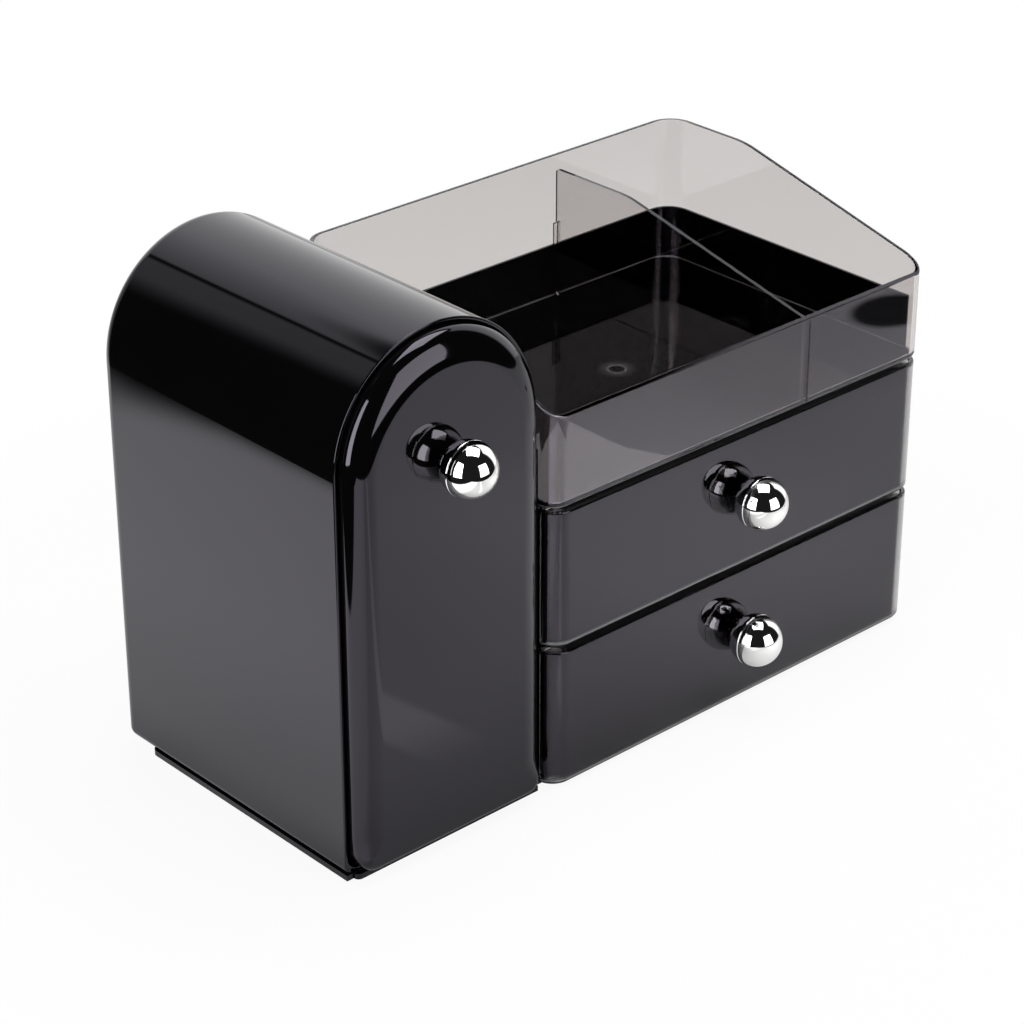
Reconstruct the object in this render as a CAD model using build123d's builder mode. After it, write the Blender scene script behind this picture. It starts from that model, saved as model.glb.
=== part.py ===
"""Makeup organizer: an arched brush tower beside a two-drawer cabinet with a lift-out top tray.

Millimetres. x runs from left to right, y from front to back, z up. The origin lies on the
table, in the middle of the overall width and depth.
"""

import os

from build123d import *

os.makedirs("parts", exist_ok=True)

# Overall sizes of the two units
tower_width = 90.0
tower_height = 200.0
tower_depth = 130.9
cabinet_width = 200.7
cabinet_depth = 133.5
well_height = 23.0

# Base plate and feet
base_thickness = 2.2
base_inset = 0.4
base_corner = 3.0
tower_base_setback = 16.0
sill_depth = 2.3
sill_inset = 3.4
sill_round = 2.2
foot_radius = 6.0
foot_thickness = 1.2
foot_proud = 0.8
foot_inset = 14.0

# Walls of the opaque pieces
tower_wall = 1.5
tower_back_round = 6.0
tower_foot_round = 3.5
tower_inner_corner = 4.8
rim_round = 0.55
panel_wall = 2.0
lip_wall = 1.0
tab_length = 14.0
tab_reach = 1.2
tab_clearance = 0.1

# Brush drawer
brush_front_gap = 0.6
brush_front_proud = 0.9
brush_front_depth = 10.9
brush_front_corner = 7.0
brush_front_round = 8.5
brush_foot_round = 2.4
brush_front_wall = 2.2
tub_wall = 1.8
tub_height = 96.0
tub_corner = 3.0
tub_inner_round = 1.1
tub_tab_width = 12.0
tub_stop_height = 2.8
tub_tab_drop = 2.6
side_clearance = 0.6
rail_width = 9.0
rail_height = 4.0
rail_spacing = 46.0
rail_setback = 8.0
guide_rib = 2.4
divider_wall = 1.5
divider_height = 84.0
divider_slot_clearance = 0.15
brush_travel = 100.0

# Drawers
front_depth = 6.8
front_wall = 2.0
front_corner = 9.0
front_foot_round = 2.6
front_head_round = 0.7
front_clearance = 0.3
front_side_gap = 2.4
lower_front_height = 56.7
lower_front_lift = 0.4
lower_knob_drop = 27.0
upper_front_height = 55.7
upper_knob_drop = 25.5
front_spacing = 1.6
bin_wall = 1.8
bin_clearance = 1.0
bin_back_clearance = 0.8
bin_head_room = 6.0
bin_back_corner = 9.0
runner_height = 2.2
runner_width = 3.0
runner_inset = 26.0
slide_clearance = 0.1
stop_height = 1.8
stop_width = 12.0
stop_inset = 40.0
drawer_travel = 95.0

# Top tray and its divider
tray_wall = 1.8
tray_floor = 1.7
tray_clearance = 0.2
tray_front_corner = 7.0
tray_back_corner = 11.0
tray_foot_round = 2.5
tray_inner_round = 1.2
tray_front_height = 36.0
tray_back_height = 61.8
tray_flat_length = 42.5
tray_shoulder_height = 40.6
tray_shoulder_setback = 10.0
rim_bend_radius = 45.0
tray_edge_round = 0.45
divider_spacing = 66.0
divider_drop = 5.8
divider_front_drop = 1.1
divider_guide = 1.0
divider_clearance = 0.2

# Knobs and screws
knob_radius = 10.3
knob_seat = 8.5
knob_bore = 1.6
knob_bore_depth = 9.0
knob_seam_width = 0.3
knob_seam_depth = 0.2
brush_knob_drop = 48.7
screw_radius = 1.5
screw_head_radius = 3.6
screw_head_height = 1.4
screw_recess = 0.7
screw_clearance = 0.2
boss_radius = 3.6
tub_screw_length = 7.0
tub_screw_spacing = 52.0
tub_screw_rise = 58.0
tub_screw_lift = 16.0
base_screw_length = 5.5
base_screw_spacing = 60.0

# Levels and faces shared by the pieces
base_top = foot_proud + base_thickness
left = -(tower_width + cabinet_width) / 2
tower_right = left + tower_width
right = tower_right + cabinet_width
tower_middle = left + tower_width / 2
cabinet_reach = front_depth + front_clearance
knob_reach = knob_seat + knob_radius
overall_depth = brush_front_proud + knob_reach + cabinet_reach + cabinet_depth
face_y = -overall_depth / 2 + brush_front_proud + knob_reach
rim_y = face_y + cabinet_reach
tower_back = rim_y + tower_depth
cabinet_back_y = rim_y + cabinet_depth
bay_left = tower_right + panel_wall + tab_clearance * 2
bay_right = right - panel_wall
bay_back = cabinet_back_y - panel_wall

lower_front_bottom = foot_proud + lower_front_lift
lower_front_top = lower_front_bottom + lower_front_height
upper_front_bottom = lower_front_top + front_spacing
upper_front_top = upper_front_bottom + upper_front_height
shelf_top = upper_front_bottom - slide_clearance
shelf_bottom = shelf_top - panel_wall
deck_top = upper_front_top + front_spacing
deck_bottom = deck_top - panel_wall
well_top = deck_top + well_height
cabinet_corner = tray_back_corner - tray_clearance + lip_wall

front_left = tower_right + front_side_gap
front_middle = (front_left + right) / 2


def block(x, y, z, mode=Mode.ADD):
    """Box between two values on each axis, in the part that is being built."""
    middle = ((x[0] + x[1]) / 2, (y[0] + y[1]) / 2, (z[0] + z[1]) / 2)
    with Locations(middle):
        Box(x[1] - x[0], y[1] - y[0], z[1] - z[0], mode=mode)


def rod(x, y, z, radius, mode=Mode.ADD):
    """Round rod along y from y[0] to y[1], at x and z."""
    with Locations((x, (y[0] + y[1]) / 2, z)):
        Cylinder(radius, y[1] - y[0], rotation=(90, 0, 0), mode=mode)


def post(x, y, z, radius, mode=Mode.ADD):
    """Round post along z from z[0] to z[1], at x and y."""
    with Locations((x, y, (z[0] + z[1]) / 2)):
        Cylinder(radius, z[1] - z[0], mode=mode)


def arch(inset, corner, drop=0):
    """Arched outline of the tower, drawn in by an inset, with rounded lower corners."""
    width = tower_width - 2 * inset
    bottom = base_top + inset - drop
    spring = base_top + tower_height - tower_width / 2
    with Locations((tower_middle, (bottom + spring) / 2)):
        Rectangle(width, spring - bottom)
    with Locations((tower_middle, spring)):
        Circle(width / 2)
    outline = BuildSketch._get_context()
    fillet(outline.vertices().group_by(Axis.Y)[0], corner)


def finish(part, label):
    """Name a finished piece and write it to its file."""
    part.label = label
    export_step(part, f"parts/{label}.step")


# Rails in the tower carry the brush tub; the screws from below end in them
rail_xs = [tower_middle - rail_spacing / 2, tower_middle + rail_spacing / 2]
rail_top = base_top + tower_wall + rail_height
rail_y = (rim_y + rail_setback, tower_back - tower_wall - rail_setback)
base_screw_ys = [
    (rail_y[0] + rail_y[1] - tower_base_setback) / 2 + side * base_screw_spacing / 2
    for side in (-1, 1)
]
base_screw_places = [(x, y) for x in rail_xs for y in base_screw_ys]

# Base plate: under both units, set back behind the drawer fronts and under the tower's back
with BuildPart() as base_plate:
    tower_base_back = tower_back - tower_base_setback
    cabinet_base_back = cabinet_back_y - base_inset
    with BuildSketch(Plane.XY.offset(foot_proud)) as base_outline:
        with BuildLine():
            Polyline(
                (left + base_inset, rim_y - base_inset),
                (left + sill_inset, rim_y - base_inset),
                (left + sill_inset, rim_y - base_inset - sill_depth),
                (tower_right, rim_y - base_inset - sill_depth),
                (tower_right, rim_y + base_inset),
                (right - base_inset, rim_y + base_inset),
                (right - base_inset, cabinet_base_back),
                (tower_right, cabinet_base_back),
                (tower_right, tower_base_back),
                (left + base_inset, tower_base_back),
                close=True,
            )
        make_face()
        sill_corner = (left + sill_inset, rim_y - base_inset - sill_depth)
        fillet(base_outline.vertices().sort_by_distance(sill_corner)[0], sill_round)
        fillet(base_outline.vertices().group_by(Axis.X)[0].sort_by(Axis.Y)[-1], base_corner)
        cabinet_vertex = base_outline.vertices().group_by(Axis.X)[-1].sort_by(Axis.Y)[-1]
        fillet(cabinet_vertex, cabinet_corner - base_inset)
    extrude(amount=base_thickness)
    foot_seat = foot_proud + foot_thickness
    foot_places = [
        (x, y)
        for x in (left + foot_inset, tower_right + foot_inset, right - foot_inset)
        for y in (rim_y + foot_inset, tower_base_back - foot_inset)
    ]
    for x, y in foot_places:
        post(x, y, (foot_proud, foot_seat), foot_radius + screw_clearance, Mode.SUBTRACT)
    for x, y in base_screw_places:
        post(x, y, (foot_proud, base_top), screw_radius + screw_clearance, Mode.SUBTRACT)
        head_seat = foot_proud + screw_head_height
        post(x, y, (foot_proud, head_seat), screw_head_radius + screw_clearance, Mode.SUBTRACT)
    tab_xs = {
        "left": (tower_right + tab_clearance, tower_right + panel_wall + tab_clearance),
        "right": (right - panel_wall, right - base_inset),
    }
    side_tab_ys = [rim_y + cabinet_depth * share for share in (0.2, 0.5, 0.8)]
    for span in tab_xs.values():
        for y in side_tab_ys:
            half = tab_length / 2 + tab_clearance
            block(
                (span[0] - tab_clearance, span[1] + tab_clearance),
                (y - half, y + half),
                (base_top - tab_reach - tab_clearance, base_top),
                Mode.SUBTRACT,
            )
finish(base_plate.part, "base_plate")

# Anti-slip feet: round pads let into the underside of the base
with BuildPart() as feet:
    for x, y in foot_places:
        post(x, y, (0, foot_seat), foot_radius)
    chamfer(feet.edges().group_by(Axis.Z)[0], foot_proud / 3)
finish(feet.part, "feet")

# Tower shell: a deep arched tub lying on its side, open to the front
tub_bottom = rail_top + slide_clearance
tub_top = tub_bottom + tub_height
tub_back = tower_back - tower_back_round
tub_tab_x = (tower_middle - tub_tab_width / 2, tower_middle + tub_tab_width / 2)
tub_stop_back = tub_back - tub_wall - brush_travel - slide_clearance
tub_stop_y = (tub_stop_back - tub_wall, tub_stop_back)
with BuildPart() as tower_hollow:
    with BuildSketch(Plane.XZ.offset(-rim_y)):
        arch(tower_wall, tower_inner_corner)
    extrude(amount=-(tower_depth - tower_wall))
    hollow_back = tower_hollow.faces().sort_by(Axis.Y)[-1]
    fillet(hollow_back.edges(), tower_back_round - tower_wall)

with BuildPart() as tower_shell:
    with BuildSketch(Plane.XZ.offset(-rim_y)):
        arch(0, tower_foot_round)
    extrude(amount=-tower_depth)
    fillet(tower_shell.faces().sort_by(Axis.Y)[-1].edges(), tower_back_round)
    add(tower_hollow.part, mode=Mode.SUBTRACT)
    mouth = tower_shell.faces().filter_by(Plane.XZ).sort_by(Axis.Y)[0]
    fillet(mouth.edges(), rim_round)
    floor_top = base_top + tower_wall
    for x in rail_xs:
        block((x - rail_width / 2, x + rail_width / 2), rail_y, (floor_top, rail_top))
    block(tub_tab_x, tub_stop_y, (floor_top, floor_top + tub_stop_height))
    guide_z = (tub_top + side_clearance, tub_top + side_clearance + guide_rib)
    guide_y = (rim_y + brush_front_depth, tower_back - tower_back_round)
    inner_left = left + tower_wall
    inner_right = tower_right - tower_wall
    block((inner_left, inner_left + guide_rib), guide_y, guide_z)
    block((inner_right - guide_rib, inner_right), guide_y, guide_z)
    for x, y in base_screw_places:
        screw_end = foot_proud + screw_head_height + base_screw_length + screw_clearance
        post(x, y, (base_top, screw_end), screw_radius + screw_clearance, Mode.SUBTRACT)
finish(tower_shell.part, "tower_shell")


def screw(place, direction, length):
    """Pan head screw: the head's inner face is at the place, the shank runs in the direction."""
    with BuildPart() as body:
        with BuildSketch(Plane.XZ) as profile:
            with BuildLine():
                Polyline(
                    (0, -screw_head_height),
                    (screw_head_radius * 0.7, -screw_head_height),
                    (screw_head_radius, -screw_head_height * 0.4),
                    (screw_head_radius, 0),
                    (screw_radius, 0),
                    (screw_radius, length - screw_radius),
                    (screw_radius * 0.4, length),
                    (0, length),
                    close=True,
                )
            make_face()
        revolve(axis=Axis.Z)
        for turn in (0, 90):
            with Locations((0, 0, -screw_head_height + screw_recess / 2)):
                Box(
                    screw_head_radius,
                    screw_recess,
                    screw_recess,
                    rotation=(0, 0, turn),
                    mode=Mode.SUBTRACT,
                )
    return Plane(origin=place, z_dir=direction) * body.part


# Base screws: four, from below through the base into the tower's rails
base_screws = Part(
    children=[
        screw((x, y, foot_proud + screw_head_height), (0, 0, 1), base_screw_length)
        for x, y in base_screw_places
    ]
)
finish(base_screws, "base_screws")


def shelf_tabs(z, clearance, mode):
    """Tabs along both sides and the back of a shelf, or their sockets with a clearance."""
    for y in side_tab_ys:
        span = (y - tab_length / 2 - clearance, y + tab_length / 2 + clearance)
        level = (z[0] + panel_wall / 4 - clearance, z[1] - panel_wall / 4 + clearance)
        block((bay_left - tab_reach - clearance, bay_left), span, level, mode)
        block((bay_right, bay_right + tab_reach + clearance), span, level, mode)
    for share in (0.25, 0.75):
        x = bay_left + (bay_right - bay_left) * share
        span = (x - tab_length / 2 - clearance, x + tab_length / 2 + clearance)
        level = (z[0] + panel_wall / 4 - clearance, z[1] - panel_wall / 4 + clearance)
        block(span, (bay_back, bay_back + tab_reach + clearance), level, mode)


shelf_z = (shelf_bottom, shelf_top)
deck_z = (deck_bottom, deck_top)

# Cabinet side panels: from the base to the top of the well; the right one is thinner above
# the deck, so that the tray fits between it and the tower, and ends at the rounded corner
with BuildPart() as cabinet_side_left:
    block((tower_right, bay_left), (rim_y, cabinet_back_y), (base_top, well_top))
    fillet(cabinet_side_left.edges().filter_by(Axis.Z).group_by(Axis.Y)[0], rim_round)
    for y in side_tab_ys:
        span = (y - tab_length / 2, y + tab_length / 2)
        block(tab_xs["left"], span, (base_top - tab_reach, base_top))
    shelf_tabs(shelf_z, tab_clearance, Mode.SUBTRACT)
    shelf_tabs(deck_z, tab_clearance, Mode.SUBTRACT)
finish(cabinet_side_left.part, "cabinet_side_left")

lip_front = rim_y + lip_wall * 2
corner_y = cabinet_back_y - cabinet_corner
with BuildPart() as cabinet_side_right:
    block((bay_right, right), (rim_y, corner_y), (base_top, deck_top))
    block((right - lip_wall, right), (lip_front, corner_y), (deck_top, well_top))
    outer_edges = cabinet_side_right.edges().filter_by(Axis.Z).group_by(Axis.X)[-1]
    fillet(outer_edges.sort_by(Axis.Y)[:2], rim_round)
    for y in side_tab_ys:
        span = (y - tab_length / 2, y + tab_length / 2)
        block(tab_xs["right"], span, (base_top - tab_reach, base_top))
    shelf_tabs(shelf_z, tab_clearance, Mode.SUBTRACT)
    shelf_tabs(deck_z, tab_clearance, Mode.SUBTRACT)
finish(cabinet_side_right.part, "cabinet_side_right")



def back_plan(wall):
    """Plan of the back wall and of the quarter ring that joins it to the right side panel."""
    corner_x = right - cabinet_corner
    with BuildLine() as outline:
        CenterArc((corner_x, corner_y), cabinet_corner, 0, 90)
        Polyline(
            (corner_x, cabinet_back_y),
            (bay_left, cabinet_back_y),
            (bay_left, cabinet_back_y - wall),
            (corner_x, cabinet_back_y - wall),
        )
        CenterArc((corner_x, corner_y), cabinet_corner - wall, 0, 90)
        Line((right - wall, corner_y), (right, corner_y))
    make_face(outline.edges())


# Cabinet back: from the left side panel round the rounded corner, thinner above the deck
with BuildPart() as cabinet_back:
    with BuildSketch(Plane.XY.offset(base_top)):
        back_plan(panel_wall)
    extrude(amount=deck_top - base_top)
    with BuildSketch(Plane.XY.offset(deck_top)):
        back_plan(lip_wall)
    extrude(amount=well_height)
    shelf_tabs(shelf_z, tab_clearance, Mode.SUBTRACT)
    shelf_tabs(deck_z, tab_clearance, Mode.SUBTRACT)
finish(cabinet_back.part, "cabinet_back")

# Drawer bins and the stops above them share these places
bin_corners = (front_corner - front_wall, bin_back_corner)
bin_left = front_left + front_wall + slide_clearance * 2
bin_right = bay_right - bin_clearance
bin_front = face_y + front_wall
bin_back = bay_back - bin_back_clearance
stop_xs = (bay_left + stop_inset, bay_right - stop_inset)
stop_face = bin_back - bin_wall - drawer_travel - slide_clearance


def stops(ceiling):
    """Ribs below a ceiling that catch the tabs of the drawer under it."""
    for x in stop_xs:
        block(
            (x - stop_width / 2, x + stop_width / 2),
            (stop_face - bin_wall, stop_face),
            (ceiling - stop_height, ceiling),
        )


# Shelf between the two drawers, and deck under the tray
for label, level in (("cabinet_shelf", shelf_z), ("cabinet_deck", deck_z)):
    with BuildPart() as shelf:
        block((bay_left, bay_right), (rim_y, bay_back), level)
        fillet(shelf.edges().filter_by(Axis.X).group_by(Axis.Y)[0], rim_round)
        upright_edges = shelf.edges().filter_by(Axis.Z).group_by(Axis.X)[-1]
        fillet(upright_edges.sort_by(Axis.Y)[-1], cabinet_corner)
        shelf_tabs(level, 0, Mode.ADD)
        stops(level[0])
    finish(shelf.part, label)


def drawer_front(bottom, height, knob_z):
    """Shallow dish that closes a bay: rounded ends, a rounded foot and a thin return all round."""
    width = right - front_left
    block_depth = 4 * front_corner
    with BuildPart() as front:
        with BuildSketch(Plane.XY.offset(bottom)):
            with Locations((front_middle, face_y + block_depth / 2)):
                RectangleRounded(width, block_depth, front_corner)
        extrude(amount=height)
        fillet(front.faces().sort_by(Axis.Z)[0].edges(), front_foot_round)
        fillet(front.faces().sort_by(Axis.Z)[-1].edges(), front_head_round)
        with BuildSketch(Plane.XY.offset(bottom + front_wall)):
            with Locations((front_middle, face_y + block_depth / 2)):
                RectangleRounded(
                    width - 2 * front_wall,
                    block_depth - 2 * front_wall,
                    front_corner - front_wall,
                )
        extrude(amount=height - 2 * front_wall, mode=Mode.SUBTRACT)
        split(bisect_by=Plane.XZ.offset(-(face_y + front_depth)), keep=Keep.TOP)
        hole_radius = screw_radius + screw_clearance
        rod(front_middle, (face_y, face_y + front_wall), knob_z, hole_radius, Mode.SUBTRACT)
    return front.part


def rounded_plan(x, y, corners, inset):
    """Plan between two values on each axis, drawn in by an inset; corners in front, behind."""
    with Locations(((x[0] + x[1]) / 2, (y[0] + y[1]) / 2)):
        Rectangle(x[1] - x[0] - 2 * inset, y[1] - y[0] - 2 * inset)
    plan = BuildSketch._get_context()
    fillet(plan.vertices().group_by(Axis.Y)[0], corners[0] - inset)
    fillet(plan.vertices().group_by(Axis.Y)[-1], corners[1] - inset)


def drawer_bin(floor_level, ceiling, front_bottom, knob_z):
    """Open bin on two runners, with stop tabs that reach up behind the ribs above."""
    bottom = max(floor_level + runner_height, front_bottom + front_wall) + slide_clearance
    top = ceiling - bin_head_room
    bin_x = (bin_left, bin_right)
    bin_y = (bin_front, bin_back)
    with BuildPart() as bin_body:
        with BuildSketch(Plane.XY.offset(bottom)):
            rounded_plan(bin_x, bin_y, bin_corners, 0)
        extrude(amount=top - bottom)
        with BuildSketch(Plane.XY.offset(bottom + bin_wall)):
            rounded_plan(bin_x, bin_y, bin_corners, bin_wall)
        extrude(amount=top - bottom - bin_wall, mode=Mode.SUBTRACT)
        for x in (bin_left + runner_inset, bin_right - runner_inset):
            block(
                (x - runner_width / 2, x + runner_width / 2),
                (rim_y + runner_width, bin_back - bin_back_corner),
                (floor_level + slide_clearance, bottom),
            )
        for x in stop_xs:
            block(
                (x - stop_width / 2, x + stop_width / 2),
                (bin_back - bin_wall, bin_back),
                (top - bin_wall, ceiling - stop_height / 2),
            )
        hole_radius = screw_radius + screw_clearance
        wall_y = (bin_front, bin_front + bin_wall)
        rod(front_middle, wall_y, knob_z, hole_radius, Mode.SUBTRACT)
    return bin_body.part


def ball_knob(x, seat_y, z):
    """Ball with a flat seat against the face at seat_y, a seam round its middle and a bore."""
    with BuildPart() as knob:
        with Locations((x, seat_y - knob_seat, z)):
            Sphere(knob_radius)
        split(bisect_by=Plane.XZ.offset(-seat_y), keep=Keep.TOP)
        with BuildSketch(Plane.XZ.offset(knob_seat - seat_y)):
            with Locations((x, z)):
                Circle(knob_radius + knob_seam_width)
                Circle(knob_radius - knob_seam_depth, mode=Mode.SUBTRACT)
        extrude(amount=knob_seam_width, mode=Mode.SUBTRACT)
        bore_y = (seat_y - knob_bore_depth, seat_y)
        rod(x, bore_y, z, knob_bore + screw_clearance, Mode.SUBTRACT)
    return knob.part


# The two drawers: front, bin, knob and the screw that holds the three together
lower_knob_z = lower_front_top - lower_knob_drop
upper_knob_z = upper_front_top - upper_knob_drop
drawers = (
    ("lower", lower_front_bottom, lower_front_height, lower_knob_z, base_top, shelf_bottom),
    ("upper", upper_front_bottom, upper_front_height, upper_knob_z, shelf_top, deck_bottom),
)
for name, bottom, height, knob_z, floor_level, ceiling in drawers:
    finish(drawer_front(bottom, height, knob_z), f"{name}_drawer_front")
    finish(drawer_bin(floor_level, ceiling, bottom, knob_z), f"{name}_drawer_bin")
    finish(ball_knob(front_middle, face_y, knob_z), f"{name}_drawer_knob")
    head_face = bin_front + bin_wall
    shank = bin_wall + front_wall + knob_bore_depth - screw_clearance
    knob_screw = screw((front_middle, head_face, knob_z), (0, -1, 0), shank)
    finish(knob_screw, f"{name}_knob_screw")

# Brush drawer front: arched dish with a wide rounded edge, set into the tower's mouth
brush_face = face_y - brush_front_proud
brush_front_back = brush_face + brush_front_depth
brush_inset = tower_wall + brush_front_gap
brush_knob_z = base_top + tower_height - brush_knob_drop
tub_screw_places = [
    (tower_middle + side * tub_screw_spacing / 2, tub_bottom + tub_screw_lift + rise)
    for side in (-1, 1)
    for rise in (0, tub_screw_rise)
]


def arched_block(inset, face, corner, side_round, foot_round):
    """Arched block behind a face, its edge rounded wide at the sides and top, tight at the foot."""
    blocks = []
    for drop, edge_round in ((brush_front_round * 2, side_round), (0, foot_round)):
        with BuildPart() as arched:
            with BuildSketch(Plane.XZ.offset(-face)):
                arch(inset, corner, drop)
            extrude(amount=-brush_front_depth)
            fillet(arched.faces().sort_by(Axis.Y)[0].edges(), edge_round)
        blocks.append(arched.part)
    return blocks[0] & blocks[1]


brush_hollow = arched_block(
    brush_inset + brush_front_wall,
    brush_face + brush_front_wall,
    brush_front_corner - brush_front_wall,
    brush_front_round - brush_front_wall,
    brush_foot_round / 2,
)
with BuildPart() as brush_front:
    add(
        arched_block(
            brush_inset, brush_face, brush_front_corner, brush_front_round, brush_foot_round
        )
    )
    add(brush_hollow, mode=Mode.SUBTRACT)
    inner_face = brush_face + brush_front_wall / 2
    for x, z in tub_screw_places:
        rod(x, (inner_face, brush_front_back), z, boss_radius)
    rod(tower_middle, (inner_face, brush_front_back), brush_knob_z, screw_head_radius)
    for x, z in tub_screw_places:
        bore_y = (brush_front_back - tub_screw_length, brush_front_back)
        rod(x, bore_y, z, screw_radius + screw_clearance, Mode.SUBTRACT)
    bore_y = (brush_face, brush_front_back)
    rod(tower_middle, bore_y, brush_knob_z, screw_radius + screw_clearance, Mode.SUBTRACT)
finish(brush_front.part, "brush_drawer_front")

finish(ball_knob(tower_middle, brush_face, brush_knob_z), "brush_drawer_knob")
brush_shank = brush_front_depth + knob_bore_depth - screw_clearance
brush_knob_screw = screw((tower_middle, brush_front_back, brush_knob_z), (0, -1, 0), brush_shank)
finish(brush_knob_screw, "brush_knob_screw")

# Brush tub: tall open bin behind the arched front, carried by the tower's rails
tub_x = (inner_left + side_clearance, inner_right - side_clearance)
tub_y = (brush_front_back, tub_back)
with BuildPart() as brush_tub:
    tub_middle = (tower_middle, (tub_y[0] + tub_y[1]) / 2)
    tub_width = tub_x[1] - tub_x[0]
    tub_depth = tub_y[1] - tub_y[0]
    with BuildSketch(Plane.XY.offset(tub_bottom)):
        with Locations(tub_middle):
            RectangleRounded(tub_width, tub_depth, tub_corner)
    extrude(amount=tub_height)
    fillet(brush_tub.faces().sort_by(Axis.Z)[0].edges(), tub_corner)
    with BuildSketch(Plane.XY.offset(tub_bottom + tub_wall)):
        with Locations(tub_middle):
            RectangleRounded(
                tub_width - 2 * tub_wall, tub_depth - 2 * tub_wall, tub_corner - tub_wall
            )
    extrude(amount=tub_height - tub_wall, mode=Mode.SUBTRACT)
    fillet(brush_tub.faces().filter_by(Plane.XY).sort_by(Axis.Z)[1].edges(), tub_inner_round)
    tab_y = (tub_back - tub_wall, tub_back)
    block(tub_tab_x, tab_y, (tub_bottom - tub_tab_drop, tub_bottom + tub_wall + tub_corner))
    for x, z in tub_screw_places:
        wall_y = (tub_y[0], tub_y[0] + tub_wall)
        rod(x, wall_y, z, screw_radius + screw_clearance, Mode.SUBTRACT)
finish(brush_tub.part, "brush_tub")

tub_screws = Part(
    children=[
        screw((x, tub_y[0] + tub_wall, z), (0, -1, 0), tub_screw_length)
        for x, z in tub_screw_places
    ]
)
finish(tub_screws, "brush_tub_screws")

# Brush dividers: a long and a cross plate, halved into each other, standing in the tub
divider_bottom = tub_bottom + tub_wall
divider_top = divider_bottom + divider_height
divider_middle = divider_bottom + divider_height / 2
cross_y = tub_middle[1]
slot = divider_wall / 2 + divider_slot_clearance
long_y = (
    tub_y[0] + tub_wall + screw_head_height + side_clearance,
    tub_y[1] - tub_wall - side_clearance / 2,
)
cross_x = (tub_x[0] + tub_wall + side_clearance / 2, tub_x[1] - tub_wall - side_clearance / 2)
plate_x = (tower_middle - divider_wall / 2, tower_middle + divider_wall / 2)
plate_y = (cross_y - divider_wall / 2, cross_y + divider_wall / 2)
with BuildPart() as long_divider:
    block(plate_x, long_y, (divider_bottom, divider_top))
    fillet(long_divider.edges().filter_by(Axis.X).group_by(Axis.Z)[-1], tub_corner)
    chamfer(long_divider.edges().filter_by(Axis.X).group_by(Axis.Z)[0], tub_inner_round)
    notch_z = (divider_middle, divider_top)
    block(plate_x, (cross_y - slot, cross_y + slot), notch_z, Mode.SUBTRACT)
finish(long_divider.part, "brush_divider_long")

with BuildPart() as cross_divider:
    block(cross_x, plate_y, (divider_bottom, divider_top))
    fillet(cross_divider.edges().filter_by(Axis.Y).group_by(Axis.Z)[-1], tub_corner)
    chamfer(cross_divider.edges().filter_by(Axis.Y).group_by(Axis.Z)[0], tub_inner_round)
    notch_z = (divider_bottom, divider_middle)
    block((tower_middle - slot, tower_middle + slot), plate_y, notch_z, Mode.SUBTRACT)
finish(cross_divider.part, "brush_divider_cross")

# Top tray: rounded tub with a high back, sides that slope down to a low front
tray_x = (front_left, right - lip_wall - tray_clearance)
tray_y = (face_y, cabinet_back_y - lip_wall - tray_clearance)
tray_bottom = deck_top
tray_inner_floor = tray_bottom + tray_floor
tray_corners = (tray_front_corner, tray_back_corner)
rim_front = tray_bottom + tray_front_height
rim_back = tray_bottom + tray_back_height
bend_y = tray_y[1] - tray_flat_length
shoulder = (tray_y[0] + tray_shoulder_setback, tray_bottom + tray_shoulder_height)
divider_x = tray_x[1] - divider_spacing

with BuildPart() as tray:
    with BuildSketch(Plane.XY.offset(tray_bottom)):
        rounded_plan(tray_x, tray_y, tray_corners, 0)
    extrude(amount=tray_back_height)
    fillet(tray.faces().sort_by(Axis.Z)[0].edges(), tray_foot_round)
    with BuildSketch(Plane.XY.offset(tray_inner_floor)):
        rounded_plan(tray_x, tray_y, tray_corners, tray_wall)
    extrude(amount=tray_back_height, mode=Mode.SUBTRACT)
    inner_floor = tray.faces().filter_by(Plane.XY).sort_by(Axis.Z)[1]
    fillet(inner_floor.edges(), tray_inner_round)
    guide_gap = divider_wall / 2 + divider_clearance
    wall_faces = ((tray_y[0] + tray_wall, 1), (tray_y[1] - tray_wall, -1))
    for wall_y, inward in wall_faces:
        ends = sorted((wall_y - inward * tray_wall / 2, wall_y + inward * divider_guide))
        for side in (-1, 1):
            near = divider_x + side * guide_gap
            span = sorted((near, near + side * divider_guide))
            guide_top = rim_front - divider_front_drop - tray_wall
            block(span, ends, (tray_inner_floor - tray_floor / 2, guide_top))
    with BuildSketch(Plane.YZ.offset(tray_x[0] - tray_wall)) as above_rim:
        with BuildLine():
            Polyline(
                (tray_y[0] - tray_wall, rim_front),
                (tray_y[0] + tray_edge_round, rim_front),
                shoulder,
                (bend_y, rim_back),
                (tray_y[1] + tray_wall, rim_back),
                (tray_y[1] + tray_wall, rim_back + tray_wall),
                (tray_y[0] - tray_wall, rim_back + tray_wall),
                close=True,
            )
        make_face()
        bend = above_rim.vertices().sort_by_distance((bend_y, rim_back))[0]
        fillet(bend, rim_bend_radius)
        fillet(above_rim.vertices().sort_by_distance(shoulder)[0], tray_shoulder_setback)
    extrude(amount=tray_x[1] - tray_x[0] + 2 * tray_wall, mode=Mode.SUBTRACT)
finish(tray.part, "top_tray")

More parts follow.
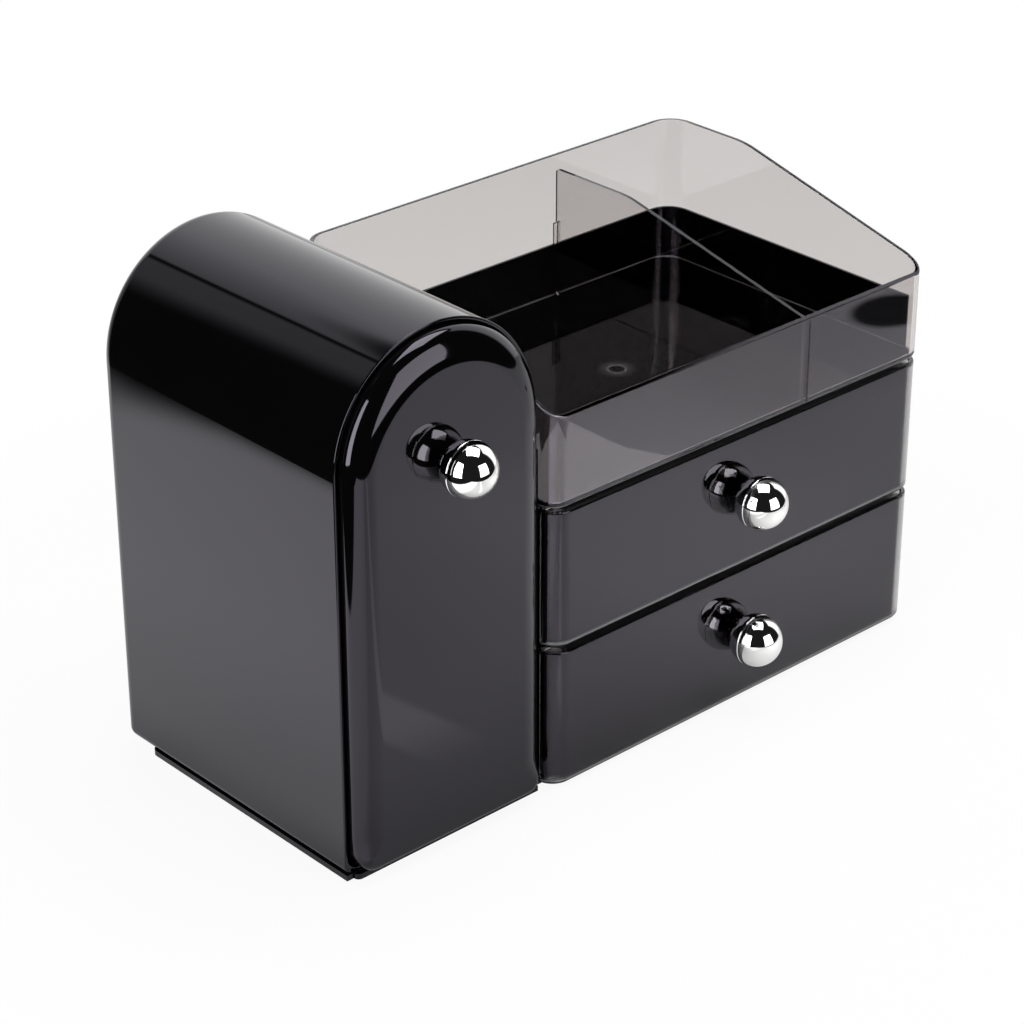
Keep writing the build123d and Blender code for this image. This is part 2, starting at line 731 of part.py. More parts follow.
# Tray divider: thin plate between the tray's guides, its top edge a little below the rim
divider_y = (
    tray_y[0] + tray_wall + divider_clearance,
    tray_y[1] - tray_wall - divider_clearance,
)
with BuildPart() as tray_divider:
    with BuildSketch(Plane.YZ.offset(divider_x - divider_wall / 2)) as side_view:
        with BuildLine():
            Polyline(
                (divider_y[0], tray_inner_floor),
                (divider_y[1], tray_inner_floor),
                (divider_y[1], rim_back - divider_drop),
                (bend_y, rim_back - divider_drop),
                (divider_y[0], rim_front - divider_front_drop),
                close=True,
            )
        make_face()
        fillet(side_view.vertices().sort_by_distance((bend_y, rim_back))[0], rim_bend_radius)
        chamfer(side_view.vertices().group_by(Axis.Y)[0], tray_inner_round + divider_clearance)
        top_back = (divider_y[1], rim_back)
        fillet(side_view.vertices().sort_by_distance(top_back)[0], divider_wall)
    extrude(amount=divider_wall)
finish(tray_divider.part, "tray_divider")
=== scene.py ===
"""Makeup organizer of glossy black and smoke plastic: arched brush tower, two drawers, top tray.

Metres, in the part's own frame: x to the right, y to the back, z up. The sizes of the pieces
are written in millimetres.
"""

import bmesh
import bpy
import numpy as np
from mathutils import Matrix, Vector


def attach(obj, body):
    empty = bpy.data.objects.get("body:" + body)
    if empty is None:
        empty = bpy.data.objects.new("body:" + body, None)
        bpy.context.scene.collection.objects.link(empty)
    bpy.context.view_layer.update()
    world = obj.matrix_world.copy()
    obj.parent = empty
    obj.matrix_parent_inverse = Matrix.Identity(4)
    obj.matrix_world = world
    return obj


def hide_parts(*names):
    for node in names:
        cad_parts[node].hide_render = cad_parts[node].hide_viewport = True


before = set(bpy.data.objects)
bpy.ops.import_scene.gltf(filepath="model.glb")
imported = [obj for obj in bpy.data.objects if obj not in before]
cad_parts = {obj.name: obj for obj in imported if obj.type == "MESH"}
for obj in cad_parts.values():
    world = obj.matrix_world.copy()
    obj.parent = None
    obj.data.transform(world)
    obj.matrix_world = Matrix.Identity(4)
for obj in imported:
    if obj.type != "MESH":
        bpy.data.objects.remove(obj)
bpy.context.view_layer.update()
scene = bpy.context.scene
MM = 0.001

# Tower shell: one deep arched moulding of glossy black plastic, lying on its side and open to
# the front. It stands on the base plate and is screwed to it from below through two rails.

left, tower_right = -145.35, -55.35
tower_middle = (left + tower_right) / 2
base_top, tower_top = 3.0, 203.0
rim_y, tower_back = -53.35, 77.55
tower_wall = 1.5
shell_foot, inner_foot, back_round, mouth_round = 3.5, 4.8, 6.0, 0.5
spring = tower_top - (tower_right - left) / 2
rail_spacing, rail_width, rail_height, rail_setback, rail_end = 46.0, 9.0, 4.0, 8.0, 68.05
stop_width, stop_height, stop_y = 12.0, 2.8, (-32.15, -30.35)
rib_reach, rib_y, rib_z = 2.4, (-50.45, 71.55), (105.2, 107.6)
# Ribs and rails run this far into the wall that they stand on
rooted = 0.1
# A row of points stands this far before each change of curvature, so that flat faces shade flat
EASE = 0.05
# A corner drawn in further than its own radius keeps this one
tightest = 0.05
arch_steps, corner_steps, side_steps, side_reach = 96, 12, 12, 16.0


def quarter(steps):
    """Angles of a quarter turn."""
    return np.linspace(0, np.pi / 2, steps + 1)


def arch_outline(inset, corner):
    """Arched outline at an inset, x and z: over the top, down the right, along the foot, up.

    Straight sides with close points near the foot, a half circle on top of them, and a quarter
    circle at each lower corner.
    """
    half = (tower_right - left) / 2 - inset
    foot = base_top + inset
    corner = max(corner, tightest)
    over = np.linspace(np.pi, 0, arch_steps + 1)
    top = np.stack((half * np.cos(over), spring + half * np.sin(over)), axis=-1)
    turn = quarter(corner_steps)
    lower = (half - corner, foot + corner) + corner * np.stack((np.cos(turn), -np.sin(turn)), axis=-1)
    low = foot + corner
    levels = np.append(spring - EASE, np.linspace(low + side_reach, low + EASE, side_steps))
    side = np.stack((np.full(len(levels), half), levels), axis=-1)
    right_half = np.concatenate((side, lower, [(half - corner - EASE, foot)]))
    outline = np.concatenate((top, right_half, right_half[::-1] * (-1, 1)))
    return outline + (tower_middle, 0)


def arch_normals():
    """Outward normals, x and z, of the arched outline: each arc's cosine and sine."""
    over = np.linspace(np.pi, 0, arch_steps + 1)
    top = np.stack((np.cos(over), np.sin(over)), axis=-1)
    turn = quarter(corner_steps)
    lower = np.stack((np.cos(turn), -np.sin(turn)), axis=-1)
    side = np.tile((1.0, 0.0), (side_steps + 1, 1))
    right_half = np.concatenate((side, lower, [(0.0, -1.0)]))
    return np.concatenate((top, right_half, right_half[::-1] * (-1, 1)))


def standing(outline, y):
    """Put an outline of x and z at a depth y, or at a depth for each of its points."""
    return np.stack((outline[:, 0], np.broadcast_to(y, len(outline)), outline[:, 1]), axis=-1)


def inside(inset, y):
    """Row of the hollow: its foot corners shrink by as much as the outline is drawn in."""
    return standing(arch_outline(inset, inner_foot + tower_wall - inset), y)


def outside(inset, y):
    """Row of the outer skin, with foot corners that shrink in the same way."""
    return standing(arch_outline(inset, shell_foot - inset), y)


def grid_faces(rows, columns, closed):
    """Quads of a grid of points, row by row, wrapped round where the columns are closed.

    A quad runs from a point to the next in its row, up to the next row, and back.
    """
    r, c = np.meshgrid(np.arange(rows - 1), np.arange(columns - (not closed)), indexing="ij")
    nxt = (c + 1) % columns
    quads = np.stack(
        (r * columns + c, r * columns + nxt, (r + 1) * columns + nxt, (r + 1) * columns + c), axis=-1
    )
    return quads.reshape(-1, 4)


class Piece:
    """Collects grids and plain boxes of points in millimetres, then makes them one mesh."""

    def __init__(self):
        self.points = []
        self.faces = []
        self.smooth = []
        self.finish = []
        self.count = 0

    def add(self, points, faces, smooth=True):
        """Add an array of points, and faces that count from its first point."""
        points = np.asarray(points, dtype=float).reshape(-1, 3)
        self.faces += (np.asarray(faces) + self.count).tolist()
        self.smooth += [smooth] * len(faces)
        self.finish += [0] * len(faces)
        self.points.append(points)
        self.count += len(points)

    def grid(self, points, closed=False, flip=False, flat_ends=False):
        """Add a grid of points, rows by columns by 3; its end strips may be flat faces."""
        rows, columns = points.shape[:2]
        faces = grid_faces(rows, columns, closed)
        self.add(points, faces[:, ::-1] if flip else faces)
        if flat_ends:
            strip = len(faces) // (rows - 1)
            self.smooth[-len(faces) : strip - len(faces)] = [False] * strip
            self.smooth[-strip:] = [False] * strip

    def cap(self, row, flip=False):
        """Close a flat end with one polygon over a row of points."""
        order = np.arange(len(row))
        self.add(row, [order[::-1] if flip else order], smooth=False)

    def bar(self, x, y, z):
        """Add a box between two values on each axis, with flat faces."""
        corners = np.array([(a, b, c) for a in x for b in y for c in z])
        sides = ((0, 1, 3, 2), (4, 6, 7, 5), (0, 4, 5, 1), (2, 3, 7, 6), (0, 2, 6, 4), (1, 5, 7, 3))
        self.add(corners[np.array(sides)], np.arange(24).reshape(6, 4), smooth=False)

    def tube(self, x, y, z, radius, bore):
        """Add a boss along y: circles of two radii about x and z, joined from y[0] to y[1]."""
        turn = np.linspace(0, 2 * np.pi, 32, endpoint=False)
        rows = ((radius, y[1]), (radius, y[0]), (bore, y[0]), (bore, y[1]), (radius, y[1]))
        for near, far in zip(rows[:-1], rows[1:]):
            ring = [
                standing(np.stack((x + r * np.cos(turn), z + r * np.sin(turn)), axis=-1), level)
                for r, level in (near, far)
            ]
            self.grid(np.array(ring), closed=True)

    def make(self, name, *finishes):
        """Merge doubles, drop faces without area, and put the mesh in the scene in metres."""
        mesh = bpy.data.meshes.new(name)
        mesh.from_pydata((np.concatenate(self.points) * MM).tolist(), [], self.faces)
        mesh.polygons.foreach_set("use_smooth", self.smooth)
        mesh.polygons.foreach_set("material_index", self.finish)
        work = bmesh.new()
        work.from_mesh(mesh)
        bmesh.ops.remove_doubles(work, verts=work.verts, dist=2e-6)
        bmesh.ops.dissolve_degenerate(work, edges=work.edges, dist=1e-7)
        bmesh.ops.recalc_face_normals(work, faces=work.faces)
        work.to_mesh(mesh)
        work.free()
        for finish in finishes:
            mesh.materials.append(finish)
        made = bpy.data.objects.new(name, mesh)
        scene.collection.objects.link(made)
        return made


# One skin, from the hollow's back forward, round the mouth and back along the outside. Over a
# rounding the inset goes with the sine of an angle, and the depth with its cosine.
inner_back = tower_back - tower_wall
inner_round = back_round - tower_wall
rows = [inside(tower_wall + inner_round + EASE, inner_back)]
for angle in quarter(8):
    inset = tower_wall + inner_round * (1 - np.sin(angle))
    rows.append(inside(inset, inner_back - inner_round * (1 - np.cos(angle))))
rows.append(inside(tower_wall, inner_back - inner_round - EASE))
rows.append(inside(tower_wall, rim_y + mouth_round + EASE))
for angle in quarter(6)[::-1]:
    inset = tower_wall - mouth_round * (1 - np.sin(angle))
    rows.append(inside(inset, rim_y + mouth_round * (1 - np.cos(angle))))
for angle in quarter(6):
    inset = mouth_round * (1 - np.sin(angle))
    rows.append(outside(inset, rim_y + mouth_round * (1 - np.cos(angle))))
rows.append(outside(0, rim_y + mouth_round + EASE))
rows.append(outside(0, tower_back - back_round - EASE))
for angle in quarter(12):
    inset = back_round * (1 - np.cos(angle))
    rows.append(outside(inset, tower_back - back_round * (1 - np.sin(angle))))
rows.append(outside(back_round + EASE, tower_back))
shell = Piece()
shell.grid(np.array(rows), closed=True)
shell.cap(rows[0])
shell.cap(rows[-1], flip=True)
floor_top = base_top + tower_wall
rail_z = (floor_top - rooted, floor_top + rail_height)
for side in (-1, 1):
    rail_x = tower_middle + side * rail_spacing / 2
    rail_span = (rail_x - rail_width / 2, rail_x + rail_width / 2)
    shell.bar(rail_span, (rim_y + rail_setback, rail_end), rail_z)
stop_span = (tower_middle - stop_width / 2, tower_middle + stop_width / 2)
shell.bar(stop_span, stop_y, (floor_top - rooted, floor_top + stop_height))
inner_left, inner_right = left + tower_wall, tower_right - tower_wall
for span in (
    (inner_left - rooted, inner_left + rib_reach),
    (inner_right - rib_reach, inner_right + rooted),
):
    shell.bar(span, rib_y, rib_z)

# Its black plastic: the mould's polish leaves a faint ripple in the surface, which keeps a breath
# of uneven sheen where it was wiped.


class Socket:
    """A shader socket. Arithmetic on it adds Math nodes to its tree."""

    def __init__(self, tree, out):
        self.tree = tree
        self.out = out

    def node(self, kind, settings=None, inputs=None, output=0):
        """Add a node, set its settings, then its sockets' values or links; give one output."""
        made = self.tree.nodes.new(kind)
        for name, value in (settings or {}).items():
            setattr(made, name, value)
        for name, value in (inputs or {}).items():
            if isinstance(value, Socket):
                self.tree.links.new(value.out, made.inputs[name])
            else:
                made.inputs[name].default_value = value
        return Socket(self.tree, made.outputs[output])

    def math(self, operation, *others):
        """A Math node on this socket and up to two others."""
        return self.node(
            "ShaderNodeMath", {"operation": operation}, dict(enumerate((self, *others)))
        )

    def __add__(self, other):
        return self.math("ADD", other)

    def __radd__(self, other):
        return self.math("ADD", other)

    def __mul__(self, other):
        return self.math("MULTIPLY", other)

    def __rmul__(self, other):
        return self.math("MULTIPLY", other)

    def __sub__(self, other):
        return self.math("SUBTRACT", other)

    def __rsub__(self, other):
        return self.node("ShaderNodeMath", {"operation": "SUBTRACT"}, {0: other, 1: self})

    def step(self, start, end, kind="SMOOTHSTEP"):
        """Smooth or linear step from 0 at start to 1 at end."""
        return self.node(
            "ShaderNodeMapRange",
            {"interpolation_type": kind},
            {"Value": self, "From Min": start, "From Max": end},
        )

    def band(self, rising, falling):
        """1 between a pair of values over which it rises and a pair over which it falls."""
        return self.step(*rising) * (1.0 - self.step(*falling))


def material(name):
    """New material: its Principled node, and a socket on Object coordinates in metres."""
    made = bpy.data.materials.new(name)
    made.use_nodes = True
    tree = made.node_tree
    principled = tree.nodes["Principled BSDF"]
    place = Socket(tree, tree.nodes.new("ShaderNodeTexCoord").outputs["Object"])
    return made, principled, place


def noise(place, scale, detail=2.0):
    """Noise of so many lumps per metre, between 0 and 1."""
    return place.node(
        "ShaderNodeTexNoise", inputs={"Vector": place, "Scale": scale, "Detail": detail}
    )


def feed(principled, name, socket):
    """Link a socket of the maths into the Principled node."""
    socket.tree.links.new(socket.out, principled.inputs[name])


def tint(place, amount, dark, light):
    """Colour between two, by an amount from 0 to 1."""
    return place.node(
        "ShaderNodeMix",
        {"data_type": "RGBA"},
        {0: amount, 6: (*dark, 1.0), 7: (*light, 1.0)},
        output=2,
    )


# Polish on these plastics mirrors a little cooler than the lamps
COOL = (0.90, 0.84, 1.0, 1.0)
BLACK, BLACK_WORN = (0.0009, 0.0009, 0.001), (0.0016, 0.0016, 0.0018)


def black_plastic(name, ripple=0.00002, sheen=(0.03, 0.07), gloss=0.5):
    """Glossy black moulding: near-black, a low uneven roughness, and a ripple of the mould."""
    made, principled, place = material(name)
    wiped = noise(place, 18.0, 3.0)
    grain = noise(place, 900.0, 2.0)
    rough = sheen[0] + (sheen[1] - sheen[0]) * wiped + 0.01 * grain
    feed(principled, "Roughness", rough)
    feed(principled, "Base Color", tint(place, wiped, BLACK, BLACK_WORN))
    bump = place.node(
        "ShaderNodeBump",
        inputs={"Height": noise(place, 26.0, 1.0), "Distance": ripple, "Strength": 1.0},
    )
    feed(principled, "Normal", bump)
    principled.inputs["IOR"].default_value = 1.5
    principled.inputs["Specular IOR Level"].default_value = gloss
    principled.inputs["Specular Tint"].default_value = COOL
    return made


tower = shell.make("tower", black_plastic("tower black", ripple=0.00004))
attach(tower, "case")
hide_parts("tower_shell")

# Brush drawer front: an arched dish of the same black plastic with a wide rounded edge, set
# into the tower's mouth. The tub behind it is screwed to four bosses inside.

brush_face, brush_depth, brush_wall = -61.35, 10.9, 2.2
brush_inset, brush_corner = 2.1, 7.0
brush_back = brush_face + brush_depth
edge_width, edge_depth, edge_crown, foot_edge, back_edge = 10.0, 6.3, 2.3, 2.4, 0.3
least_round = 0.3
boss_x, boss_z, boss_depth, boss_radius, boss_bore = 26.0, (24.6, 82.6), 1.1, 3.6, 1.7
brush_knob_z = 154.3

# The rounded edge is narrow along the foot, widens up the sides by a smooth step, and is widest
# over the crown of the arch
brush_outline = arch_outline(brush_inset, brush_corner)
outward = arch_normals()
rise = np.clip((brush_outline[:, 1] - base_top - brush_inset) / (2 * brush_corner), 0, 1)
wide = rise * rise * (3 - 2 * rise)
crown = edge_crown * np.clip(outward[:, 1], 0, 1)
reach = foot_edge + (edge_width - foot_edge) * wide + crown
sink = foot_edge + (edge_depth - foot_edge) * wide


def brush_row(inset, y):
    """The arched outline drawn in along its normals, at a depth for each of its points."""
    return standing(brush_outline - outward * np.broadcast_to(inset, len(outward))[:, None], y)


inner_reach = np.maximum(reach - brush_wall, least_round)
inner_sink = np.maximum(sink - brush_wall, least_round)
rows = []
for angle in quarter(14):
    rows.append(
        brush_row(
            brush_wall + inner_reach * (1 - np.sin(angle)),
            brush_face + brush_wall + inner_sink * (1 - np.cos(angle)),
        )
    )
for angle in quarter(3)[::-1]:
    inset = brush_wall - back_edge * (1 - np.sin(angle))
    rows.append(brush_row(inset, brush_back - back_edge * (1 - np.cos(angle))))
for angle in quarter(3):
    inset = back_edge * (1 - np.sin(angle))
    rows.append(brush_row(inset, brush_back - back_edge * (1 - np.cos(angle))))
for angle in quarter(28):
    rows.append(
        brush_row(reach * (1 - np.cos(angle)), brush_face + sink * (1 - np.sin(angle)))
    )
rows.append(brush_row(reach + EASE, brush_face))
front = Piece()
front.grid(np.array(rows), closed=True)
front.cap(rows[0])
front.cap(rows[-1], flip=True)
boss_y = (brush_face + boss_depth, brush_back)
for side in (-1, 1):
    for height in boss_z:
        front.tube(tower_middle + side * boss_x, boss_y, height, boss_radius, boss_bore)
front.tube(tower_middle, boss_y, brush_knob_z, boss_radius, boss_bore)
brush_front = front.make("brush_front", black_plastic("arched front black"))
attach(brush_front, "brush_drawer")
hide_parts("brush_drawer_front")

# Cabinet: two side panels, a back, a shelf and a deck of glossy black sheet, tabbed into each
# other and into the base plate, which is one black moulding under both units. The inner side
# panel, between tower and drawers, is satin.


def dress(node, *finishes):
    """Give a plain piece its finishes."""
    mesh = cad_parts[node].data
    mesh.materials.clear()
    for finish in finishes:
        mesh.materials.append(finish)


panel_black = black_plastic("panel black")
for node in ("cabinet_side_right", "cabinet_back"):
    dress(node, panel_black)
dress("cabinet_side_left", black_plastic("inner side black", sheen=(0.3, 0.4), gloss=0.04))
shelf_black = black_plastic("shelf black")
for node in ("cabinet_shelf", "cabinet_deck"):
    dress(node, shelf_black)
dress("base_plate", black_plastic("base black", sheen=(0.06, 0.14)))

# Drawer fronts: shallow dishes of smoke plastic with rounded ends and a rounded foot. A thin
# return runs all round, and the bin behind is held by the knob's screw. Smoke plastic is clear
# acrylic with a neutral grey dye, polished on both sides.


def smoke_plastic(name, dye):
    """Clear dyed plastic with a polished skin: it transmits, and mirrors on every face."""
    made, principled, place = material(name)
    clouds = noise(place, 12.0, 2.0)
    lighter = tuple(min(1.0, share * 1.02) for share in dye)
    feed(principled, "Base Color", tint(place, clouds, dye, lighter))
    feed(principled, "Roughness", 0.004 + 0.012 * noise(place, 30.0, 3.0))
    bump = place.node(
        "ShaderNodeBump",
        inputs={"Height": noise(place, 22.0, 1.0), "Distance": 0.00001, "Strength": 1.0},
    )
    feed(principled, "Normal", bump)
    principled.inputs["Transmission Weight"].default_value = 1.0
    principled.inputs["IOR"].default_value = 1.49
    principled.inputs["Specular Tint"].default_value = COOL
    return made


def axes(vector):
    """The three parts of a vector socket."""
    split = vector.node("ShaderNodeSeparateXYZ", inputs={"Vector": vector})
    return [Socket(vector.tree, part) for part in split.out.node.outputs]


def millimetres(made):
    """Sockets on x, y and z over a piece of this material, in millimetres."""
    tree = made.node_tree
    place = Socket(tree, tree.nodes["Texture Coordinate"].outputs["Object"])
    return [part * (1 / MM) for part in axes(place)]


def overlay(made, amount, colour):
    """Lay a dull colour over a material by an amount from 0 to 1."""
    tree = made.node_tree
    surface = tree.nodes["Material Output"].inputs["Surface"]
    below = Socket(tree, surface.links[0].from_socket)
    dull = below.node("ShaderNodeBsdfDiffuse", inputs={"Color": (*colour, 1.0)})
    mixed = below.node("ShaderNodeMixShader", inputs={0: amount, 1: below, 2: dull})
    tree.links.new(mixed.out, surface)


front_left, right, face_y = -52.95, 145.35, -60.45
front_depth, front_corner, front_wall = 6.8, 9.0, 1.96
foot_round, head_round = 2.6, 0.7
cut_y = face_y + front_depth
front_levels = {"lower": (1.2, 57.9), "upper": (59.5, 115.2)}
# The rounded ends' lighter dye is a painted highlight, and the near-black at the left cut is painted
# shade
FRONT_DYE, END_HIGHLIGHT_DYE, CUT_SHADE_DYE = (0.14, 0.136, 0.134), (0.5, 0.49, 0.485), (0.01, 0.01, 0.01)
# Distances from an end over which the painted shade at the cut turns into the painted highlight of
# the end, and that into the body's dye
cut_shade, end_highlight_span = (1.2, 2.2), (4.0, 10.0)
# Heights over which the painted highlight line along the foot comes and goes
foot_highlight_band, PAINTED_HIGHLIGHT = ((1.9, 2.1), (2.5, 2.8)), (0.5, 0.5, 0.51)


def front_row(inset, z):
    """U-shaped row of a drawer front at an inset and height, from the left end to the right.

    Arcs of the corner radius less the inset run from the cut plane to the flat face.
    """
    radius = front_corner - inset
    centre_y = face_y + front_corner
    start = np.arcsin((centre_y - cut_y) / radius)
    angles = np.linspace(start, np.pi / 2, 17)
    arc = np.stack((-radius * np.cos(angles), centre_y - radius * np.sin(angles)), axis=-1)
    left_part = arc + (front_left + front_corner, 0)
    right_part = arc[::-1] * (-1, 1) + (right - front_corner, 0)
    ease_left = left_part[-1:] + (EASE, 0)
    ease_right = right_part[:1] - (EASE, 0)
    path = np.concatenate((left_part, ease_left, ease_right, right_part))
    return np.stack((path[:, 0], path[:, 1], np.full(len(path), z)), axis=-1)


def to_cut(row):
    """The same row pushed back to the cut plane."""
    pushed = row.copy()
    pushed[:, 1] = cut_y
    return pushed


def drawer_front(bottom, top):
    """Dish between two heights: an outer and an inner skin, joined round their edges.

    The outer inset falls as 1 - sin over the rounded foot and rises as 1 - cos over the head.
    """
    outer_rows = [front_row(foot_round + EASE, bottom)]
    for angle in quarter(10):
        inset = foot_round * (1 - np.sin(angle))
        outer_rows.append(front_row(inset, bottom + foot_round * (1 - np.cos(angle))))
    outer_rows.append(front_row(0, bottom + foot_round + EASE))
    outer_rows.append(front_row(0, top - head_round - EASE))
    for angle in quarter(6):
        inset = head_round * (1 - np.cos(angle))
        outer_rows.append(front_row(inset, top - head_round * (1 - np.sin(angle))))
    outer_rows.append(front_row(head_round + EASE, top))
    outer_skin = np.array([to_cut(outer_rows[0]), *outer_rows, to_cut(outer_rows[-1])])
    low, high = bottom + front_wall, top - front_wall
    inner_rows = [front_row(front_wall, low), front_row(front_wall, low + EASE)]
    inner_rows += [front_row(front_wall, high - EASE)] * (len(outer_rows) - 3)
    inner_rows.append(front_row(front_wall, high))
    inner_skin = np.array([to_cut(inner_rows[0]), *inner_rows, to_cut(inner_rows[-1])])
    dish = Piece()
    dish.grid(outer_skin)
    dish.grid(inner_skin, flip=True)
    for edge_out, edge_in, flip in (
        (outer_skin[0], inner_skin[0], True),
        (outer_skin[-1], inner_skin[-1], False),
        (outer_skin[:, 0], inner_skin[:, 0], False),
        (outer_skin[:, -1], inner_skin[:, -1], True),
    ):
        strip = grid_faces(2, len(edge_out), False)
        dish.add(np.array((edge_out, edge_in)), strip[:, ::-1] if flip else strip, smooth=False)
    return dish


def front_smoke(name, bottom):
    """Smoke plastic with painted light: a painted highlight in the rounded ends, painted shade at the
    left cut and a painted highlight line along the foot.
    """
    made = smoke_plastic(name, FRONT_DYE)
    x, _, z = millimetres(made)
    from_left, from_right = x - front_left, right - x
    middle = from_left.step(*end_highlight_span) * from_right.step(*end_highlight_span)
    body = tint(x, middle, END_HIGHLIGHT_DYE, FRONT_DYE)
    # Painted shade at the left cut, fading into the painted highlight of the end and then the body's
    # dye
    colour = x.node(
        "ShaderNodeMix",
        {"data_type": "RGBA"},
        {0: from_left.step(*cut_shade), 6: (*CUT_SHADE_DYE, 1.0), 7: body},
        output=2,
    )
    feed(made.node_tree.nodes["Principled BSDF"], "Base Color", colour)
    # A painted highlight line along the foot
    overlay(made, 0.4 * (z - bottom).band(*foot_highlight_band), PAINTED_HIGHLIGHT)
    return made


for name, (bottom, top) in front_levels.items():
    finish = front_smoke(f"{name} front smoke", bottom)
    made = drawer_front(bottom, top).make(f"{name}_front", finish)
    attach(made, f"{name}_drawer")
    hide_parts(f"{name}_drawer_front")

# Drawer bins and brush tub: open smoke boxes that ride on runners and rails. The tub's two
# dividers slot together where they cross.

BIN_DYE, PALE_DYE = (0.12, 0.118, 0.116), (0.72, 0.69, 0.68)
bin_smoke = smoke_plastic("bin smoke", BIN_DYE)
for node in ("lower_drawer_bin", "upper_drawer_bin"):
    dress(node, bin_smoke)
tub_smoke = smoke_plastic("tub smoke", PALE_DYE)
for node in ("brush_tub", "brush_divider_long", "brush_divider_cross"):
    dress(node, tub_smoke)

# Top tray: a lift-out smoke tub with a high back, sides that slope down to a low front, a
# rounded foot, and small guides in the front and back wall for its divider.

tray_x, tray_y = (-52.95, 144.15), (-60.45, 78.95)
tray_bottom, tray_floor, tray_wall = 116.8, 1.7, 1.8
tray_foot, tray_inner, tray_edge = 2.5, 1.2, 0.35
front_corner_radius, back_corner_radius = 7.0, 11.0
# Seen from the side the rim is level for a hair, ramps up to a shoulder, slopes to a bend and is
# level again. Its line runs on past both ends of the tray.
rim_front, rim_back, rim_ends, rim_level = 152.8, 178.6, (-80.0, 100.0), 0.45
shoulder = (-50.45, 157.4)
bend_y, bend_radius, shoulder_radius = 36.45, 45.0, 10.0
side_points, side_margin, side_height = 60, 0.002, 30.0
# The floor's darker dye is painted shade, and the black is painted shade for dark lines
FLOOR_SHADE_DYE, DIVIDER_DYE, PAINTED_SHADE = (0.36, 0.36, 0.38), (0.65, 0.625, 0.615), (0.0, 0.0, 0.0)


def rounded_line(points, radii):
    """Polyline with its inner corners rounded to given radii, as dense points of y and z.

    A corner's arc is centred on the line that halves its angle, and touches both straights.
    """
    path = [np.array(points[0], dtype=float)]
    for before, corner, after, radius in zip(points[:-2], points[1:-1], points[2:], radii):
        before, corner, after = (np.array(p, dtype=float) for p in (before, corner, after))
        a = (before - corner) / np.linalg.norm(before - corner)
        b = (after - corner) / np.linalg.norm(after - corner)
        half = np.arccos(np.clip(a @ b, -1, 1)) / 2
        if radius > 0:
            reach = radius / np.tan(half)
            middle = corner + (a + b) / np.linalg.norm(a + b) * radius / np.sin(half)
            start, end = corner + a * reach - middle, corner + b * reach - middle
            for share in np.linspace(0, 1, 25):
                turn = (1 - share) * start + share * end
                path.append(middle + turn / np.linalg.norm(turn) * radius)
        else:
            path.append(corner)
    path.append(np.array(points[-1], dtype=float))
    return np.array(path)


rim_line = rounded_line(
    [
        (rim_ends[0], rim_front),
        (tray_y[0] + rim_level, rim_front),
        shoulder,
        (bend_y, rim_back),
        (rim_ends[1], rim_back),
    ],
    [0, shoulder_radius, bend_radius],
)


def rim_height(y):
    """Height of the tray's rim over a depth y, read off its side view."""
    return np.interp(y, rim_line[:, 0], rim_line[:, 1])


heart = np.array(((tray_x[0] + tray_x[1]) / 2, (tray_y[0] + tray_y[1]) / 2))


def tray_outline(inset):
    """Closed plan of the tray at an inset, x and y, from the front right corner round to it.

    Four arcs joined by straight sides, which carry close points for the rim's slope.
    """
    corners = (
        (tray_x[1], tray_y[0], front_corner_radius, -np.pi / 2),
        (tray_x[1], tray_y[1], back_corner_radius, 0.0),
        (tray_x[0], tray_y[1], back_corner_radius, np.pi / 2),
        (tray_x[0], tray_y[0], front_corner_radius, np.pi),
    )
    arcs = []
    for x, y, radius, start in corners:
        radius_here = max(radius - inset, tightest)
        inward = np.sign(heart - (x, y))
        centre = np.array((x, y)) + inward * (inset + radius_here)
        turn = np.linspace(start, start + np.pi / 2, 17)
        arcs.append(centre + radius_here * np.stack((np.cos(turn), np.sin(turn)), axis=-1))
    sides = []
    for index in range(4):
        start, end = arcs[index][-1], arcs[(index + 1) % 4][0]
        length = np.linalg.norm(end - start)
        steps = np.linspace(side_margin, 1 - side_margin, side_points)
        steps = np.concatenate(([EASE / length], steps, [1 - EASE / length]))
        sides.append(start + (end - start) * steps[:, None])
    return np.concatenate([part for pair in zip(arcs, sides) for part in pair])


def flat_ring(plan, z):
    """A plan at one height, or at a height for each of its points."""
    return np.stack((plan[:, 0], plan[:, 1], np.broadcast_to(z, len(plan))), axis=-1)


def tray_wall_rows(inset, low, flip):
    """Rows of one side of the wall, from a low level to just under the rim's edge.

    Each row stands at a fixed share of the height between the two, all the way round.
    """
    plan = tray_outline(inset)
    high = rim_height(plan[:, 1]) - tray_edge
    shares = (0, EASE / side_height, 0.5, 1 - EASE / side_height, 1)
    found = [flat_ring(plan, low + (high - low) * share) for share in shares]
    return found[::-1] if flip else found


# One skin, from the middle of the underside out, up the outside, over the rim and down the
# inside to the middle of the floor
heart_row = np.tile(heart, (len(tray_outline(0)), 1))
rows = [flat_ring(heart_row, tray_bottom), flat_ring(tray_outline(tray_foot + EASE), tray_bottom)]
for angle in quarter(10):
    inset = tray_foot * (1 - np.sin(angle))
    rows.append(flat_ring(tray_outline(inset), tray_bottom + tray_foot * (1 - np.cos(angle))))
rows += tray_wall_rows(0, tray_bottom + tray_foot, False)[1:]
for angle in quarter(4)[1:]:
    plan = tray_outline(tray_edge * (1 - np.cos(angle)))
    rows.append(flat_ring(plan, rim_height(plan[:, 1]) - tray_edge * (1 - np.sin(angle))))
for angle in quarter(4)[::-1]:
    plan = tray_outline(tray_wall - tray_edge * (1 - np.cos(angle)))
    rows.append(flat_ring(plan, rim_height(plan[:, 1]) - tray_edge * (1 - np.sin(angle))))
inner_floor = tray_bottom + tray_floor
rows += tray_wall_rows(tray_wall, inner_floor + tray_inner, True)[1:]
